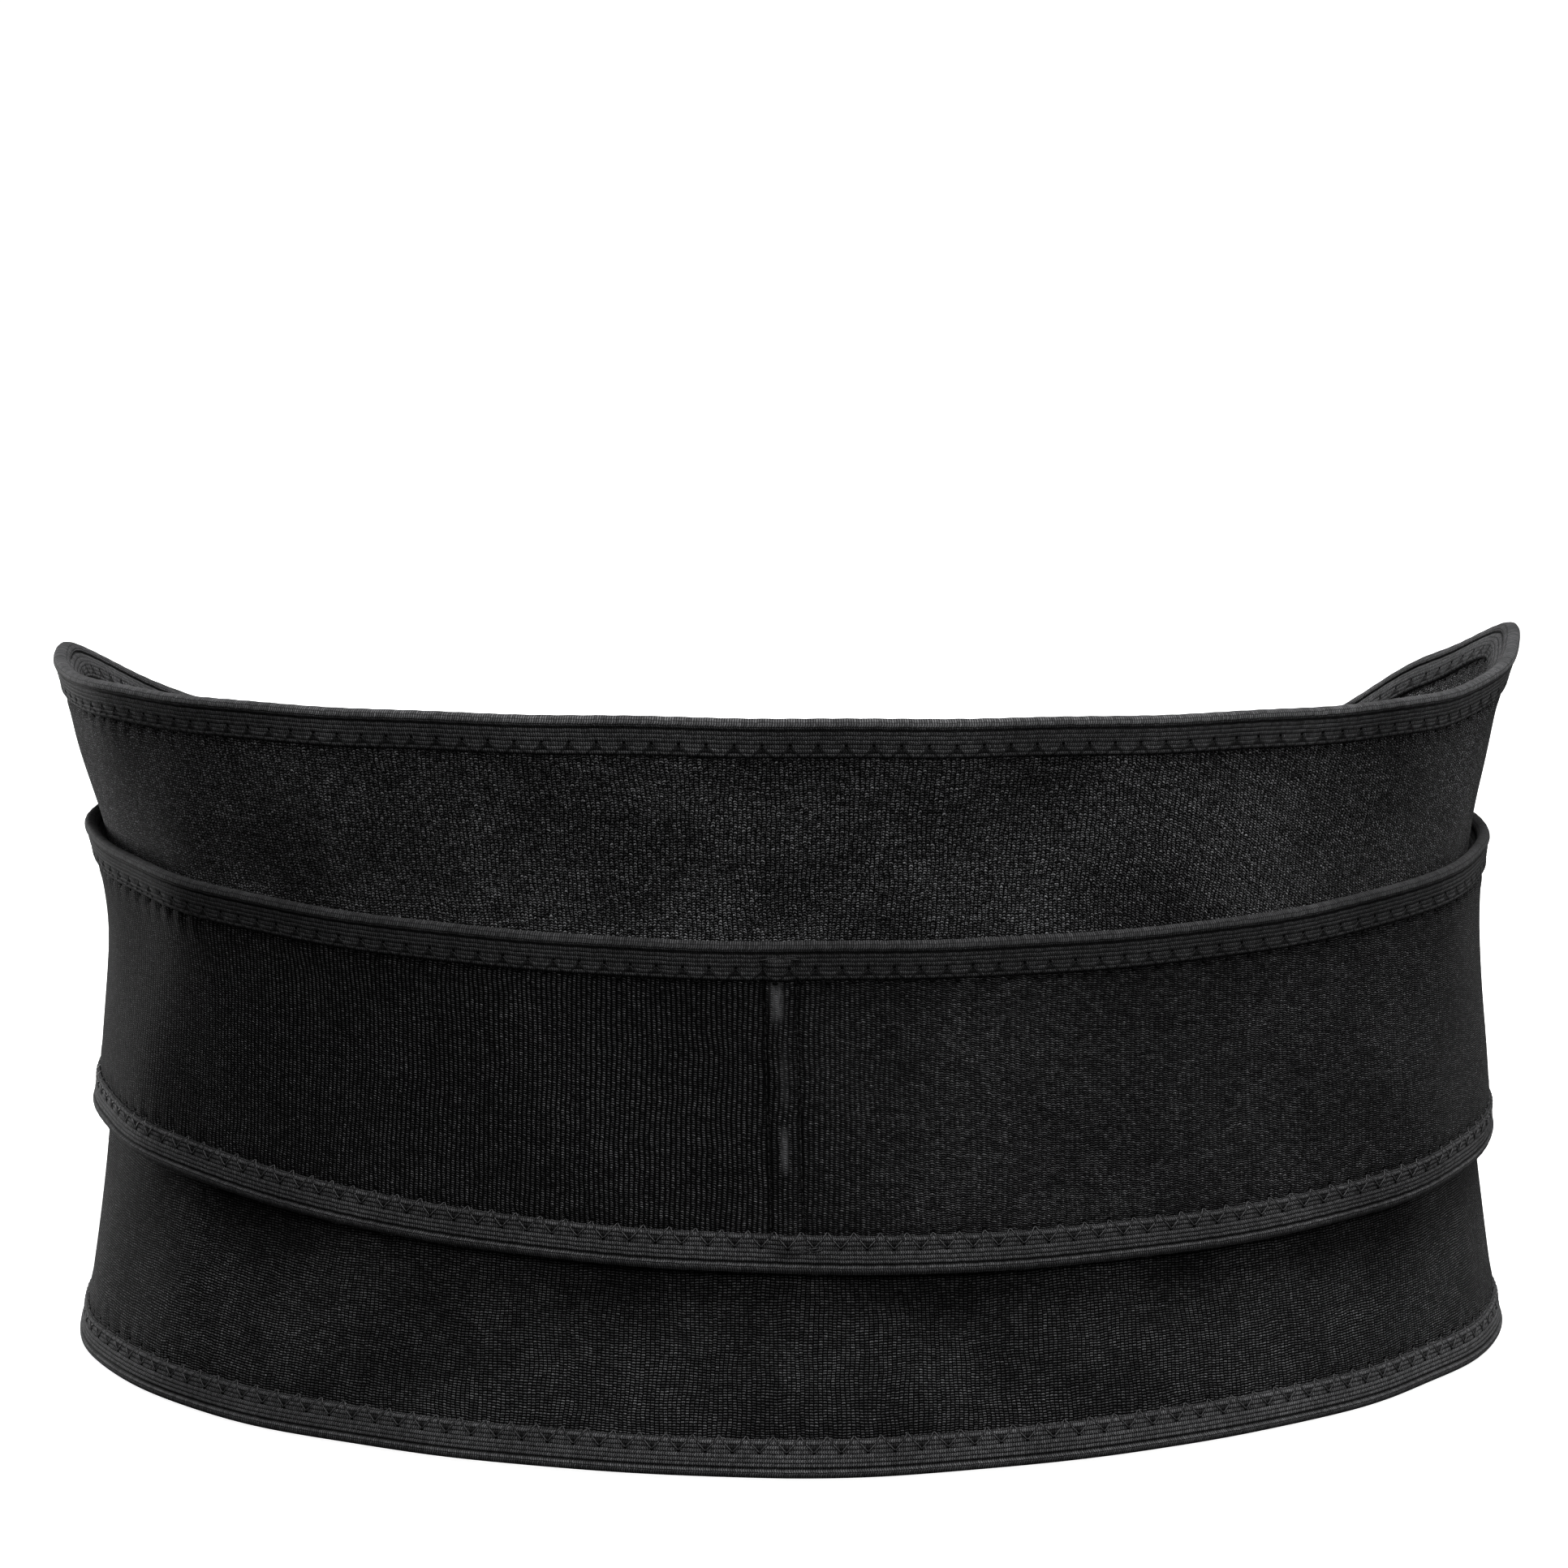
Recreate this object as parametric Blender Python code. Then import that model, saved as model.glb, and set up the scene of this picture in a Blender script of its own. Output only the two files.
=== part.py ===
"""A lumbar support belt: a wide panel bound in folded knit tape, a narrower tension band over it, four
flat stays in a pocket behind the lower back, and two wings that lap in front on hook and loop.

Millimetres in the constants. Angles are degrees round the waist from the middle of the back; the left
side is the wearer's left, at negative x. An offset is a distance outward from the outer face of the
wide panel. +Z is up, and the back of the belt faces -Y.
"""
import math

import bmesh
import bpy

NAME = "lumbar_support_belt"
MM = 0.001

# The oval of the waist, and how it opens above and below its narrowest height.
HALF_WIDTH = 172.0
HALF_DEPTH = 124.2
WAIST_HEIGHT = 106.0
BACK_HEIGHT = 182.1
TOP_FLARE = 14.0
BOTTOM_FLARE = 12.3
FLARE_POWER = 1.8
DEPTH_FLARE = 0.7
AXIS_Y = -1.5

# The edges of the wide panel and of the band, from the back round to the front.
FLANK_DROP = 7.0
FRONT_TOP = 127.0
FRONT_BOTTOM = 23.0
BAND_TOP, BAND_BOTTOM = 129.3, 50.5
BAND_FLANK_TOP, BAND_FLANK_BOTTOM = 132.0, 55.5
BAND_FRONT_TOP, BAND_FRONT_BOTTOM = 104.0, 52.0

# Where the pieces end, in degrees round from the middle of the back.
WING_HINGE = 112.0
BAND_HINGE = 132.0
BAND_TIP = 150.0
RIGHT_TIP = 178.0
LEFT_TIP = 205.0
CUT_GAP = 0.2
LAP_FROM, LAP_TO = 120.0, 170.0
LAP_RISE = 7.2
STEP = 5.6

# Layers, each from its inner to its outer face.
PANEL = (-3.6, 0.0)
BAND = (2.2, 5.2)
POCKET = (-6.4, -5.6)
STAY = (-5.3, -3.9)
CENTRE_STAY = (0.3, 1.9)
LANDING = (0.3, 0.9)
BAND_HOOK = (1.3, 1.9)
CLOSURE_LOOP = (0.3, 1.8)
CLOSURE_HOOK = (-4.9, -3.9)

TAPE = 0.8
FIT = 0.3
EDGE = TAPE + FIT
TAPE_WIDTH = 9.3
TAPE_CHAMFER = 0.8
WING_CORNER = 24.0
BAND_CORNER = 15.0
STAY_ANGLES = (-24.0, -9.5, 9.5, 24.0)
STAY_WIDTH = 10.0
STAY_ENDS = (20.0, 158.0)
CENTRE_STAY_WIDTH = 6.0
CENTRE_STAY_ENDS = (62.0, 117.0)
POCKET_REACH, POCKET_ENDS = 34.0, (16.0, 168.0)

NEOPRENE = (0.022, 0.022, 0.024)
KNIT = (0.03, 0.03, 0.033)
BINDING = (0.05, 0.05, 0.054)
HOOK = (0.015, 0.015, 0.016)
LOOP = (0.035, 0.035, 0.038)
STEEL = (0.45, 0.45, 0.47)


def smooth(start, end, x):
    t = min(max((x - start) / (end - start), 0.0), 1.0)
    return t * t * (3 - 2 * t)


def flare(z):
    if z > WAIST_HEIGHT:
        return TOP_FLARE * ((z - WAIST_HEIGHT) / (BACK_HEIGHT - WAIST_HEIGHT)) ** FLARE_POWER
    return BOTTOM_FLARE * ((WAIST_HEIGHT - z) / WAIST_HEIGHT) ** FLARE_POWER


def spot(side, angle, z, offset):
    """The point at an angle round one side (-1 left, 1 right), a height and an offset, in metres."""
    lap = LAP_RISE * smooth(LAP_FROM, LAP_TO, angle) if side < 0 else 0.0
    out, turn = flare(z), math.radians(angle)
    x = side * (HALF_WIDTH + out + lap + offset) * math.sin(turn)
    y = AXIS_Y - (HALF_DEPTH + DEPTH_FLARE * out + lap + offset) * math.cos(turn)
    return x * MM, y * MM, z * MM


def girth(angle):
    """The length of one degree round the waist."""
    turn = math.radians(angle)
    return math.radians(math.hypot(HALF_WIDTH * math.cos(turn), HALF_DEPTH * math.sin(turn)))


def edges(angle):
    """The heights of the wide panel's tape-covered edges."""
    turn = abs(angle)
    top = BACK_HEIGHT - FLANK_DROP * math.sin(math.radians(min(turn, 90.0))) ** 2
    return FRONT_BOTTOM * smooth(98, 145, turn), top + (FRONT_TOP - top) * smooth(90, 146, turn)


def band_edges(angle):
    turn = abs(angle)
    side, front = math.sin(math.radians(min(turn, 90.0))) ** 2, smooth(92, 138, turn)
    low = BAND_BOTTOM + (BAND_FLANK_BOTTOM - BAND_BOTTOM) * side
    high = BAND_TOP + (BAND_FLANK_TOP - BAND_TOP) * side
    return low + (BAND_FRONT_BOTTOM - low) * front, high + (BAND_FRONT_TOP - high) * front


def steps(start, end):
    """Angles from start to end, spaced as near STEP as they divide."""
    count = max(1, round((end - start) / STEP))
    return [start + (end - start) * i / count for i in range(count + 1)]


def rounded(start, tip, corner):
    """Angles from start to a tip, closer together where the panel's corners are rounded."""
    centre, radius = tip - corner / girth(tip), corner - EDGE
    turned = [centre + radius * math.sin(math.radians(18 * i)) / girth(tip) for i in range(1, 6)]
    return steps(start, centre) + turned


def material(name, colour, roughness):
    mat = bpy.data.materials.new(name)
    mat.use_nodes = True
    shader = mat.node_tree.nodes["Principled BSDF"]
    shader.inputs["Base Color"].default_value = (*colour, 1)
    shader.inputs["Roughness"].default_value = roughness
    mat.diffuse_color = (*colour, 1)
    return mat


def slab(name, columns, rows, place, colour, roughness=0.9):
    """A thin box of columns by rows cells, bent so that its corner (i, j, k) lies at place(i, j, k);
    k is 0 on its inner face and 1 on its outer one."""
    work = bmesh.new()
    bmesh.ops.create_grid(work, x_segments=columns, y_segments=rows, size=0.5)
    bmesh.ops.solidify(work, geom=work.faces[:], thickness=1.0)
    bmesh.ops.recalc_face_normals(work, faces=work.faces[:])
    low = min(v.co.z for v in work.verts)
    for v in work.verts:
        i, j = round((v.co.x + 0.5) * columns), round((v.co.y + 0.5) * rows)
        v.co = place(i, j, round(v.co.z - low))
    if work.calc_volume(signed=True) < 0:
        bmesh.ops.reverse_faces(work, faces=work.faces[:])
    mesh = bpy.data.meshes.new(name)
    work.to_mesh(mesh)
    work.free()
    mesh.materials.append(material(name, colour, roughness))
    piece = bpy.data.objects.new(name, mesh)
    bpy.data.collections[NAME].objects.link(piece)
    return piece


def panel(name, side, angles, limits, layer, rows, colour, corner=0.0):
    """A panel between two taped edges; with a corner radius, its last end is a rounded tip."""
    tip, radius = angles[-1], corner - EDGE

    def place(i, j, k):
        low, high = limits(angles[i])
        near = radius - (tip - angles[i]) * girth(tip)
        cut = radius - math.sqrt(max(radius**2 - near**2, 0.0)) if corner and near > 0 else 0.0
        low, high = low + EDGE + cut, high - EDGE - cut
        return spot(side, angles[i], low + (high - low) * j / rows, layer[k])
    return slab(name, len(angles) - 1, rows, place, colour)


def tape_profile(layer):
    """The folded tape's inner and outer outlines, as (distance past the panel's edge, offset)."""
    low, high, leg = layer[0] - FIT, layer[1] + FIT, EDGE - TAPE_WIDTH
    inner = [(leg, low), (0.0, low), (FIT, low + FIT), (FIT, high - FIT), (0.0, high), (leg, high)]
    fold, c = EDGE, TAPE_CHAMFER
    outer = [(leg, low - TAPE), (fold - c, low - TAPE), (fold, low - TAPE + c),
             (fold, high + TAPE - c), (fold - c, high + TAPE), (leg, high + TAPE)]
    return inner, outer


def tape(name, side, path, layer, colour):
    """A tape folded over an edge. The path holds (angle, height, outward direction round, and up)."""
    outlines = tape_profile(layer)

    def place(i, j, k):
        angle, z, along, up = path[i]
        past, offset = outlines[k][j]
        return spot(side, angle + along * past / girth(angle), z + up * past, offset)
    return slab(name, len(path) - 1, 5, place, colour, 0.8)


def edge_path(angles, limits, up):
    return [(a, limits(a)[1] - EDGE if up > 0 else limits(a)[0] + EDGE, 0.0, up) for a in angles]


def tip_path(start, tip, limits, corner):
    """Along the top edge to a rounded tip, down it, and back along the bottom edge."""
    centre, radius = tip - corner / girth(tip), corner - EDGE
    run, (low, high) = steps(start, centre), limits(tip)
    low, high, top, bottom = low + corner, high - corner, [], []
    for i in range(1, 6):
        along, up = math.sin(math.radians(18 * i)), math.cos(math.radians(18 * i))
        angle = centre + radius * along / girth(tip)
        top.append((angle, high + radius * up, along, up))
        bottom.insert(0, (angle, low - radius * up, along, -up))
    down = [(top[-1][0], high + (low - high) * i / 4, 1.0, 0.0) for i in range(1, 4)]
    return edge_path(run, limits, 1.0) + top + down + bottom + edge_path(run[::-1], limits, -1.0)


def patch(name, side, start, end, low, high, layer, colour, rows=3):
    angles = steps(start, end)
    return slab(name, len(angles) - 1, rows,
                lambda i, j, k: spot(side, angles[i], low + (high - low) * j / rows, layer[k]), colour)


def strip(name, middle, width, ends, layer, colour):
    half = width / 2 / girth(middle)
    patch(name, 1, middle - half, middle + half, *ends, layer, colour, rows=8)


def build_back():
    reach = WING_HINGE - CUT_GAP
    run = steps(-reach, reach)
    panel("back_panel", 1, run, edges, PANEL, 10, NEOPRENE)
    tape("back_binding_top", 1, edge_path(run, edges, 1.0), PANEL, BINDING)
    tape("back_binding_bottom", 1, edge_path(run, edges, -1.0), PANEL, BINDING)
    panel("band_back", 1, run, band_edges, BAND, 5, KNIT)
    tape("band_back_binding_top", 1, edge_path(run, band_edges, 1.0), BAND, BINDING)
    tape("band_back_binding_bottom", 1, edge_path(run, band_edges, -1.0), BAND, BINDING)
    strip("centre_stay", 0.0, CENTRE_STAY_WIDTH, CENTRE_STAY_ENDS, CENTRE_STAY, HOOK)
    for number, angle in enumerate(STAY_ANGLES, 1):
        strip(f"back_stay_{number}", angle, STAY_WIDTH, STAY_ENDS, STAY, STEEL)
    patch("stay_pocket_panel", 1, -POCKET_REACH, POCKET_REACH, *POCKET_ENDS, POCKET, KNIT, rows=8)


def build_wing(name, side, tip):
    start = WING_HINGE + CUT_GAP
    panel(f"{name}_wing_panel", side, rounded(start, tip, WING_CORNER), edges, PANEL, 7, NEOPRENE,
          WING_CORNER)
    tape(f"{name}_wing_binding", side, tip_path(start, tip, edges, WING_CORNER), PANEL, BINDING)
    run = steps(start, BAND_HINGE - CUT_GAP)
    panel(f"{name}_band_side", side, run, band_edges, BAND, 5, KNIT)
    tape(f"{name}_band_side_binding_top", side, edge_path(run, band_edges, 1.0), BAND, BINDING)
    tape(f"{name}_band_side_binding_bottom", side, edge_path(run, band_edges, -1.0), BAND, BINDING)
    patch(f"{name}_band_landing", side, 134, 146, 63, 93, LANDING, LOOP)


def build_band_end(name, side):
    start = BAND_HINGE + CUT_GAP
    panel(f"{name}_band_end", side, rounded(start, BAND_TIP, BAND_CORNER), band_edges, BAND, 5, KNIT,
          BAND_CORNER)
    tape(f"{name}_band_end_binding", side, tip_path(start, BAND_TIP, band_edges, BAND_CORNER), BAND,
         BINDING)
    patch(f"{name}_band_hook", side, 134.5, 145.5, 63.5, 92.5, BAND_HOOK, HOOK)


def build_closure():
    patch("right_closure_loop", 1, 152.0, 173.5, 39.0, 111.0, CLOSURE_LOOP, LOOP, rows=6)
    patch("left_closure_hook", -1, 177.0, 200.0, 39.0, 111.0, CLOSURE_HOOK, HOOK, rows=6)


for old in list(bpy.data.objects):
    bpy.data.objects.remove(old)
bpy.context.scene.collection.children.link(bpy.data.collections.new(NAME))
build_back()
build_wing("left", -1, LEFT_TIP)
build_wing("right", 1, RIGHT_TIP)
build_band_end("left", -1)
build_band_end("right", 1)
build_closure()
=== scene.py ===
"""The look of a lumbar support belt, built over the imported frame: knit-faced panels, folded knit
bindings with zigzag stitching, a stitched stay channel, hook and loop patches, floor, light, camera."""
import math

import bpy
import mathutils
import numpy as np
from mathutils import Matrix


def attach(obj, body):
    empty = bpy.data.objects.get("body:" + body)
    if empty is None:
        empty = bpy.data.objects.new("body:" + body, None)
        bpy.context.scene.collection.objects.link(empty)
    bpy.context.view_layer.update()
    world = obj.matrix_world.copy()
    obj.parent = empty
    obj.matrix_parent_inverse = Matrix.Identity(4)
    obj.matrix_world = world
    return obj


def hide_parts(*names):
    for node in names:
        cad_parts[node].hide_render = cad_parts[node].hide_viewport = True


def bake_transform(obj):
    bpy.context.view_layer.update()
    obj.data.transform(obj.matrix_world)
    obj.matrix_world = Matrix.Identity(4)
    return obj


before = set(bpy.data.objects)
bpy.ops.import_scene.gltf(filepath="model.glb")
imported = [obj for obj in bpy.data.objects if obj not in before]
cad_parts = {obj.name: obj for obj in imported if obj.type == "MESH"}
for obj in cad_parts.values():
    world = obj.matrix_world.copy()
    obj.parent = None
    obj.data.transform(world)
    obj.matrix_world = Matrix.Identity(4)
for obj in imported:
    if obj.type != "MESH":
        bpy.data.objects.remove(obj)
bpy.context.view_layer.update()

# The waist's oval and its flare, in millimetres, as the frame has them.
HALF_WIDTH, HALF_DEPTH, AXIS_Y = 172.0, 124.2, -1.5
WAIST, TOP, TOP_FLARE, BOTTOM_FLARE, POWER, DEPTH_FLARE = 106.0, 182.1, 14.0, 12.3, 1.8, 0.7
LEFT_TIP, RIGHT_TIP, BAND_TIP = 205.0, 178.0, 150.0
BACK_REACH = 60.0  # degrees: the middle pieces of the panels end here
TAIL_FROM = 126.5  # degrees: the band's loose ends start here
PANEL_BACK = -3.6  # the wide panel's inner face; its outer face is 0
BAND_BACK, BAND_FACE = 1.1, 3.9  # the tension band's inner and outer faces
PANEL_CORNER, BAND_CORNER = 24.0, 15.0  # the radii of the rounded tips
CHANNEL_HALF = 3.65  # half of the stay channel's width
CHANNEL_FOOT, CHANNEL_LEAN = 54.0, 2.3 / 70.0  # its lower end, and how far it leans for each millimetre up

PITCH = 5.9  # one zigzag
TAPE_WIDTH, TAPE_THICK = 9.3, 0.85
CUT_EDGE = 8.9  # the tape thins from here to its cut edge
ROLL, ROLL_EXTRA = 2.1, 0.35  # the rolled rim's radius, and how much thicker it is than the tape
TOOTH_NEAR, TOOTH_FAR = 6.4, 10.0  # the needle's two rows, from the rim
FOLD = 1.6  # how far the rim stands past the panel's edge
RIB = 1.05  # one lengthwise row of the tape
THREAD_RADIUS, SEAM_RADIUS = 0.12, 0.17
MM = 1000  # millimetres in a metre


def smooth(start, end, x):
    t = np.clip((np.asarray(x, float) - start) / (end - start), 0, 1)
    return t * t * (3 - 2 * t)


def flare(z):
    up = np.clip((z - WAIST) / (TOP - WAIST), 0, None) ** POWER * TOP_FLARE
    return up + np.clip((WAIST - z) / WAIST, 0, None) ** POWER * BOTTOM_FLARE


def unevenness(psi, z):
    """Slow, shallow swells of soft fabric on a body."""
    a, b = np.radians(psi), z / 30.0
    return (0.35 * np.sin(5 * a + 0.9 * b + 0.4) + 0.3 * np.sin(9 * a - 1.3 * b + 2.1)
            + 0.22 * np.sin(15 * a + 2.1 * b + 1.0) + 0.15 * np.sin(23 * a - 1.7 * b))


def surface(psi, z, off):
    """Millimetres: degrees round from the middle of the back (left negative), height, offset."""
    psi, z, off = np.broadcast_arrays(np.asarray(psi, float), np.asarray(z, float), np.asarray(off, float))
    out, turn = flare(z), np.radians(psi)
    off = off + 7.2 * smooth(120, 170, -psi) + unevenness(psi, z)
    flank, behind = np.sin(turn) ** 2, np.clip(np.cos(turn), 0, None) ** 2
    off = off + (1.2 * np.exp(-((z - 76) / 22) ** 2) + np.exp(-((z - 152) / 14) ** 2)) * flank
    low = smooth(60, 8, z)
    left_side = 2.4 * np.exp(-((psi + 62) / 20) ** 2) - 1.8 * np.exp(-((psi + 98) / 16) ** 2)
    off = off + 1.3 * low * behind + low * left_side
    lean = 1.8 - 4.0 * smooth(95, 165, z) - 0.8 * smooth(70, 50, z)
    x = (HALF_WIDTH + out + off) * np.sin(turn) + lean * flank
    y = AXIS_Y - (HALF_DEPTH + DEPTH_FLARE * out + off) * np.cos(turn)
    return np.stack([x, y, z], axis=-1)


# The arc length along the waist's oval, for each angle.
_psi = np.linspace(-215, 215, 8601)
_turn = np.radians(_psi)
_step = np.radians(0.05) * np.hypot(HALF_WIDTH * np.cos(_turn), HALF_DEPTH * np.sin(_turn))
_arc = np.concatenate([[0], np.cumsum((_step[1:] + _step[:-1]) / 2)])
_arc -= np.interp(0, _psi, _arc)


def arc(psi):
    return np.interp(psi, _psi, _arc)


def angle(u):
    return np.interp(u, _arc, _psi)


def main_edges(psi):
    """The rims' heights, low and high."""
    turn, s = np.abs(psi), np.sin(np.radians(np.clip(psi, -90, 90)))
    top = TOP - 7.1 * s**2
    straight = 2.0 * np.log1p(np.exp(np.clip((turn - 91) / 2.0, -20, 60))) / 55
    late = smooth(100, 140, turn)
    high = top + (127.0 - top) * np.clip(straight * (1 - late) + smooth(90, 146, turn) * late, 0, 1)
    high = high + 6.6 * smooth(60, 95, psi) * (1 - smooth(108, 128, psi)) - 1.2 * smooth(60, 95, -psi)
    high = high + 3.4 * np.exp(-((psi + 96) / 13) ** 2) + 2.3 * np.exp(-((psi - 95) / 13) ** 2)
    low = 3.3 * (1 - s**2) + 1.3 * np.clip(s, 0, None) * (1 - smooth(95, 130, turn))
    low = low + 0.7 * smooth(0.4, 0.65, s) * (1 - smooth(0.85, 1, s))
    low = low - 1.6 * (1 - smooth(0.1, 0.5, s)) * (1 - s**2)
    return low + (23.0 - low) * smooth(98, 145, turn), high


def band_edges(psi):
    """The tension band's rims, low and high."""
    turn, s = np.abs(psi), np.sin(np.radians(np.clip(psi, -90, 90)))
    front = smooth(92, 138, turn)
    low, high = 50.5 + 4.9 * s**2 - 3.3 * s, 129.3 + 2.8 * s**2 - 0.5 * s
    return low + (52.0 - low) * front, high + (104.0 - high) * front


def shade_and_link(name, verts, faces, uvs, material):
    """A mesh in metres with its own UV map, faces turned outward."""
    mesh = bpy.data.meshes.new(name)
    verts, faces = np.asarray(verts, float) / MM, np.asarray(faces, int)
    a, b, c, d = (verts[faces[:, i]] for i in range(4))
    volume = (a * np.cross(b, c)).sum() + (a * np.cross(c, d)).sum()
    if volume < 0:
        faces = faces[:, ::-1]
    mesh.from_pydata(verts.tolist(), [], faces.tolist())
    layer = mesh.uv_layers.new(name="cloth")
    corner = np.zeros(len(mesh.loops), int)
    mesh.loops.foreach_get("vertex_index", corner)
    layer.data.foreach_set("uv", np.asarray(uvs, float)[corner].ravel())
    mesh.polygons.foreach_set("use_smooth", np.ones(len(mesh.polygons), bool))
    mesh.validate()
    mesh.set_sharp_from_angle(angle=math.radians(48))
    mesh.materials.append(material)
    obj = bpy.data.objects.new(name, mesh)
    bpy.context.scene.collection.objects.link(obj)
    return obj


def shell(name, outer, inner, u, z, material):
    """A closed panel between two grids of points, (across, up, 3), at arc lengths u and heights z."""
    n, m = outer.shape[:2]
    verts = np.concatenate([outer.reshape(-1, 3), inner.reshape(-1, 3)])
    i, j = np.meshgrid(np.arange(n - 1), np.arange(m - 1), indexing="ij")
    at = (i * m + j).ravel()
    front = np.stack([at, at + m, at + m + 1, at + 1], 1)
    back = front[:, ::-1] + n * m
    rows, cols = np.arange(n - 1) * m, np.arange(m - 1)
    low = np.stack([rows, rows + n * m, rows + m + n * m, rows + m], 1)
    high = np.stack([rows, rows + m, rows + m + n * m, rows + n * m], 1) + m - 1
    start = np.stack([cols, cols + 1, cols + 1 + n * m, cols + n * m], 1)
    end = np.stack([cols, cols + n * m, cols + 1 + n * m, cols + 1], 1) + (n - 1) * m
    faces = np.concatenate([front, back, low, high, start, end])
    uv = np.stack([u, z], -1).reshape(-1, 2) / MM
    return shade_and_link(name, verts, faces, np.tile(uv, (2, 1)), material)


def swept(name, rings, uv, material):
    """A closed body along rings of points, (along, round, 3); its ends are closed by strips of quads."""
    n, k = rings.shape[:2]
    i, j = np.meshgrid(np.arange(n - 1), np.arange(k), indexing="ij")
    i, j = i.ravel(), j.ravel()
    side = np.stack([i * k + j, (i + 1) * k + j, (i + 1) * k + (j + 1) % k, i * k + (j + 1) % k], 1)
    q = np.arange(k // 2 - 1)
    cap = np.stack([q, q + 1, k - 2 - q, k - 1 - q], 1)
    faces = np.concatenate([side, cap, cap[:, ::-1] + (n - 1) * k])
    return shade_and_link(name, rings.reshape(-1, 3), faces, uv.reshape(-1, 2), material)


# Panels

def pucker(u, from_rim):
    """The needle's pull on the cloth beside a tape: dimples at each tooth, swells between them."""
    wave = 0.5 - 0.5 * np.cos(2 * np.pi * u / PITCH)
    dimple = np.exp(-((from_rim - TOOTH_FAR) / 0.9) ** 2) * wave**2
    swell = np.exp(-((from_rim - 12.2) / 2.0) ** 2) * (1 - wave)
    return -0.55 * dimple + 0.22 * swell


def panel_grid(psi, limits, corner_at=None, corner=0.0, rise=1.9):
    """Angles by heights, closer together near the edges. Returns psi, z and the distances to both rims."""
    low, high = limits(psi)
    low, high = low + FOLD, high - FOLD
    if corner_at is not None:
        radius = corner - FOLD
        near = radius - np.abs(arc(corner_at) - arc(psi)) + FOLD
        cut = radius - np.sqrt(np.clip(radius**2 - np.clip(near, 0, radius) ** 2, 0, None))
        low, high = low + cut, high - cut
    v = np.linspace(0, 1, int(float(np.median(high - low)) / rise) + 1)
    v = v - 0.055 * np.sin(2 * np.pi * v)
    z = low[:, None] + (high - low)[:, None] * v[None, :]
    return np.broadcast_to(psi[:, None], z.shape), z, z - low[:, None] + FOLD, high[:, None] - z + FOLD


def stations(start, end, spacing=PITCH / 4):
    """Angles between two, on the zigzag's own beat, so that pieces meet point to point."""
    a, b = sorted((float(arc(start)), float(arc(end))))
    inner = np.arange(math.ceil(a / spacing + 0.25), math.floor(b / spacing - 0.25) + 1) * spacing
    psi = angle(np.concatenate([[a], inner, [b]]))
    return psi if start < end else psi[::-1]


def pinch(d):
    """How much the binding squeezes the cloth's inner side at its rim."""
    return 1.9 * smooth(6.2, 1.5, d)


def under_tape(d):
    """How far the cloth sinks under a tape, by the distance from its rim."""
    return 0.35 * (1 - smooth(8.6, 9.6, d))


def wide_panel(name, start, end, material, corner_at=None):
    psi = stations(start, end)
    if corner_at is not None:
        psi = rounded_end(psi, corner_at, PANEL_CORNER)
    p, z, d_low, d_high = panel_grid(psi, main_edges, corner_at, PANEL_CORNER)
    u = arc(p)
    sunk, pull = under_tape(d_low) + under_tape(d_high), pucker(u, d_low) + pucker(u, d_high)
    back = PANEL_BACK - 0.7 * pull + sunk + pinch(np.minimum(d_low, d_high))
    return shell(name, surface(p, z, pull - sunk), surface(p, z, back), u, z, material)


def rounded_end(psi, tip, corner):
    """The stations near a rounded tip, closer together where its corner turns."""
    side = 1 if tip > 0 else -1
    edge, r = float(arc(tip)) - side * FOLD, corner - FOLD
    keep = psi[np.abs(arc(psi) - edge) > r + 0.8]
    turn = np.radians(np.linspace(0, 90, 15))
    return np.concatenate([keep, angle(edge - side * r + side * r * np.sin(turn))])


def channel_middle(z):
    return 0.1 - CHANNEL_LEAN * (z - CHANNEL_FOOT)


def channel(u, z):
    """Offsets outward for the stitched stay channel up the middle of the band, which leans a little to
    the left as it rises."""
    x = u - channel_middle(z)
    inside = smooth(54.5, 57, z) * (1 - smooth(124, 126, z))
    groove = np.exp(-((np.abs(x) - CHANNEL_HALF) / 0.55) ** 2)
    crown = np.clip(1 - (x / CHANNEL_HALF) ** 2, 0, None) ** 0.6
    return (0.75 * crown - 0.8 * groove) * inside


def band_panel(name, start, end, material, corner_at=None):
    crosses_channel = corner_at is None and start < 0 < end
    psi = stations(start, end, PITCH / 8 if crosses_channel else PITCH / 4)
    if corner_at is not None:
        psi = rounded_end(psi, corner_at, BAND_CORNER)
    p, z, d_low, d_high = panel_grid(psi, band_edges, corner_at, BAND_CORNER, 1.5)
    u = arc(p)
    sunk, pull = under_tape(d_low) + under_tape(d_high), pucker(u, d_low) + pucker(u, d_high)
    off = BAND_FACE + pull - sunk + channel(u, z)
    back = BAND_BACK + sunk + pinch(np.minimum(d_low, d_high))
    return shell(name, surface(p, z, off), surface(p, z, back), u, z, material)


# Bindings

def leg(d):
    """How far the folded tape stands off the panel's face, by the distance from its rim: a round roll,
    a groove, then lengthwise ribs to its cut edge."""
    d = np.asarray(d, float)
    proud = TAPE_THICK + ROLL_EXTRA
    roll = proud * np.sqrt(np.clip(1 - ((ROLL - np.minimum(d, ROLL)) / ROLL) ** 2, 0, 1))
    ribs = TAPE_THICK + 0.09 * np.cos(2 * np.pi * (d - 3.3) / RIB)
    groove = -0.5 * np.exp(-((d - 2.6) / 0.3) ** 2)
    past = smooth(ROLL, 2.9, d)
    flat = ribs * past + proud * (1 - past) + groove
    return np.where(d < ROLL, roll, flat) - 0.5 * smooth(CUT_EDGE, TAPE_WIDTH, d)


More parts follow.
